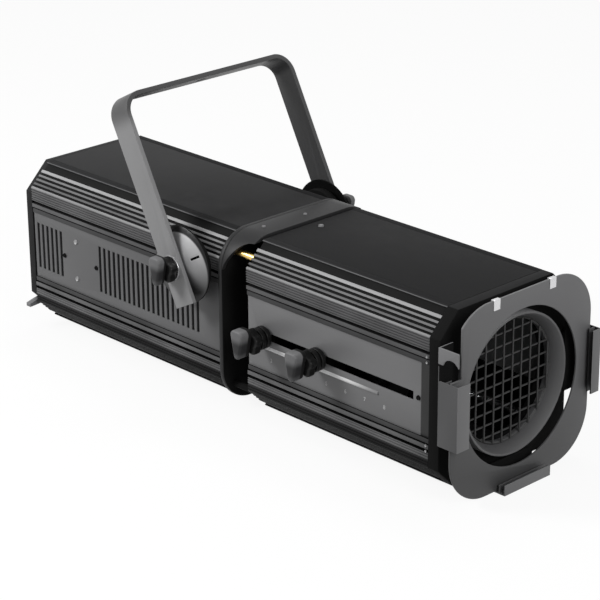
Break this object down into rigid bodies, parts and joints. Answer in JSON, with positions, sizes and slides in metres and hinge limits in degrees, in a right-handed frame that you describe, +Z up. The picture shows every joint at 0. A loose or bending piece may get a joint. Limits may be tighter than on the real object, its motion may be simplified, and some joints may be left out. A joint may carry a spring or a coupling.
{
  "type": "follow spot",
  "caption": "Profile follow spot with a louvred lamp house and lens tube of finned corner rails, sliding lenses, a tilting yoke and a lift-out colour frame.",
  "frame": {"origin": "middle of the whole part's length and width, at the height of its lowest point, the underside of the bottom frame runner", "axes": "+X along the beam towards the front, +Y away from the lens knobs, +Z up"},
  "size_m": [0.835, 0.3466, 0.3957],
  "materials": {
    "black_rail": "black anodised, satin",
    "black_cover": "fine-textured black powder coat",
    "side_panel": "satin black paint",
    "black_steel": "satin black paint",
    "gate_black": "matt black heat-resistant paint",
    "plain_sheet": "mill-finish sheet",
    "grey_steel": "satin dark grey paint",
    "disc_metal": "satin grey anodised",
    "bright_steel": "bright drawn steel",
    "mesh_steel": "dull blackened steel wire",
    "brass": "turned brass",
    "knob_black": "moulded black plastic",
    "knob_grey": "moulded grey plastic",
    "gland_plastic": "moulded black plastic",
    "reflector_metal": "polished bowl",
    "ceramic": null,
    "lens_glass": "clear polished glass",
    "lamp_glass": "clear quartz envelope"
  },
  "bodies": {
    "housing": {"house_rail_near_top": "black_rail", "house_rail_far_top": "black_rail", "house_rail_near_bottom": "black_rail", "house_rail_far_bottom": "black_rail", "house_top_cover": "black_cover", "house_bottom_cover": "black_cover", "house_panel_near": "side_panel", "house_panel_far": "side_panel", "rear_cover": "black_cover", "cover_catch": "grey_steel", "cable_gland": "gland_plastic", "lamp_bulkhead": "plain_sheet", "lampholder": "ceramic", "lamp": "lamp_glass", "reflector": "reflector_metal", "gate_collar": "black_cover", "gate_plate": "gate_black", "gate_box": "gate_black", "gate_bridges": "black_cover", "spacer_studs": "brass", "tube_rail_near_top": "black_rail", "tube_rail_far_top": "black_rail", "tube_rail_near_bottom": "black_rail", "tube_rail_far_bottom": "black_rail", "tube_top_cover": "black_cover", "tube_bottom_cover": "black_cover", "tube_panel_near": "side_panel", "tube_panel_far": "side_panel", "tube_rear_plate": "gate_black", "guide_rods": "bright_steel", "scale_rail": "bright_steel", "front_cap": "black_cover", "safety_mesh": "mesh_steel", "mesh_ring": "side_panel", "runner_near": "black_steel", "runner_far": "black_steel", "runner_bottom": "black_steel", "runner_spacers": "gate_black", "frame_catch": "grey_steel", "tilt_hub_near": "gate_black", "tilt_hub_far": "gate_black", "tilt_disc_near": "disc_metal", "tilt_disc_far": "disc_metal"},
    "yoke_arm": {"yoke": "black_steel", "tilt_washers": "bright_steel"},
    "tilt_knob_near_side": {"tilt_knob_near": "knob_black", "tilt_cap_near": "knob_grey"},
    "tilt_knob_far_side": {"tilt_knob_far": "knob_black", "tilt_cap_far": "knob_grey"},
    "rear_carriage": {"lens_carrier_rear": "gate_black", "lens_rear": "lens_glass"},
    "front_carriage": {"lens_carrier_front": "gate_black", "lens_front": "lens_glass"},
    "rear_focus_knob": {"lens_knob_rear": "knob_black", "lens_cap_rear": "knob_grey"},
    "front_focus_knob": {"lens_knob_front": "knob_black", "lens_cap_front": "knob_grey"},
    "colour_frame_leaf": {"colour_frame": "black_steel", "frame_clips": "bright_steel"}
  },
  "joints": [
    {"name": "yoke_tilt", "type": "hinge", "parent": "housing", "child": "yoke_arm", "pos_m": [-0.0545, 0, 0.1878], "axis": [0, 1, 0], "range_deg": [-42, 97]},
    {"name": "near_tilt_lock", "type": "hinge", "parent": "housing", "child": "tilt_knob_near_side", "pos_m": [-0.0545, -0.152, 0.1878], "axis": [0, 1, 0], "continuous": true},
    {"name": "far_tilt_lock", "type": "hinge", "parent": "housing", "child": "tilt_knob_far_side", "pos_m": [-0.0545, 0.152, 0.1878], "axis": [0, 1, 0], "continuous": true},
    {"name": "rear_lens_slide", "type": "slide", "parent": "housing", "child": "rear_carriage", "axis": [1, 0, 0], "range_m": [-0.006, 0.04]},
    {"name": "front_lens_slide", "type": "slide", "parent": "housing", "child": "front_carriage", "axis": [1, 0, 0], "range_m": [-0.008, 0.148]},
    {"name": "rear_lens_lock", "type": "hinge", "parent": "rear_carriage", "child": "rear_focus_knob", "pos_m": [0.0805, -0.12, 0.1248], "axis": [0, 1, 0], "continuous": true},
    {"name": "front_lens_lock", "type": "hinge", "parent": "front_carriage", "child": "front_focus_knob", "pos_m": [0.1765, -0.12, 0.1248], "axis": [0, 1, 0], "continuous": true},
    {"name": "colour_frame_lift", "type": "slide", "parent": "housing", "child": "colour_frame_leaf", "axis": [0, 0, 1], "range_m": [0, 0.25]}
  ]
}
